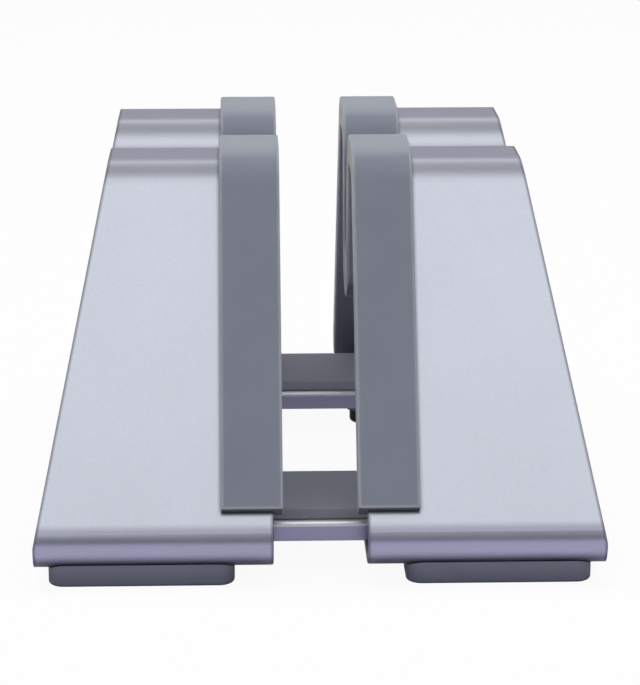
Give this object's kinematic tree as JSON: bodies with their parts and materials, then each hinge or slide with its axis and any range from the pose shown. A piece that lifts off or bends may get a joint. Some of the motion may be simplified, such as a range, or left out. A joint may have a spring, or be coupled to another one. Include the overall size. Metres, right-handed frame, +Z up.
{
  "type": "vertical laptop stand",
  "caption": "Adjustable vertical laptop stand: folded metal halves with soft edges slide on cross rails and lock to hold a closed laptop on edge.",
  "frame": {"origin": "on the table, under the middle of the stand", "axes": "+X across the slot, +Y along the slot away from the viewer, +Z up"},
  "size_m": [0.1086, 0.14, 0.0773],
  "materials": {
    "anodised_aluminium": "satin anodised",
    "edge_silicone": "matt silicone",
    "strip_silicone": "matt silicone",
    "foot_rubber": "matt rubber",
    "black_steel": "black oxide",
    "plain_steel": "zinc plated"
  },
  "bodies": {
    "rails": {"front_rail": "anodised_aluminium", "front_rail_strip": "strip_silicone", "rear_rail": "anodised_aluminium", "rear_rail_strip": "strip_silicone"},
    "left_half": {"left_frame": "anodised_aluminium", "left_edge_pad": "edge_silicone", "left_front_foot": "foot_rubber", "left_front_lock_nut": "plain_steel", "left_rear_foot": "foot_rubber", "left_rear_lock_nut": "plain_steel"},
    "right_half": {"right_frame": "anodised_aluminium", "right_edge_pad": "edge_silicone", "right_front_foot": "foot_rubber", "right_front_lock_nut": "plain_steel", "right_rear_foot": "foot_rubber", "right_rear_lock_nut": "plain_steel"},
    "left_front_screw": {"left_front_lock_screw": "black_steel"},
    "left_rear_screw": {"left_rear_lock_screw": "black_steel"},
    "right_front_screw": {"right_front_lock_screw": "black_steel"},
    "right_rear_screw": {"right_rear_lock_screw": "black_steel"}
  },
  "joints": [
    {"name": "left_half_slide", "type": "slide", "parent": "rails", "child": "left_half", "axis": [-1, 0, 0], "range_m": [-0.0011, 0.0099]},
    {"name": "right_half_slide", "type": "slide", "parent": "rails", "child": "right_half", "axis": [1, 0, 0], "range_m": [-0.0011, 0.0099]},
    {"name": "left_front_screw_turn", "type": "hinge", "parent": "left_half", "child": "left_front_screw", "pos_m": [-0.0133, -0.0395, 0.0034], "axis": [0, 0, -1], "range_deg": [0, 360]},
    {"name": "left_rear_screw_turn", "type": "hinge", "parent": "left_half", "child": "left_rear_screw", "pos_m": [-0.0133, 0.0395, 0.0034], "axis": [0, 0, -1], "range_deg": [0, 360]},
    {"name": "right_front_screw_turn", "type": "hinge", "parent": "right_half", "child": "right_front_screw", "pos_m": [0.0133, -0.0395, 0.0034], "axis": [0, 0, -1], "range_deg": [0, 360]},
    {"name": "right_rear_screw_turn", "type": "hinge", "parent": "right_half", "child": "right_rear_screw", "pos_m": [0.0133, 0.0395, 0.0034], "axis": [0, 0, -1], "range_deg": [0, 360]}
  ]
}
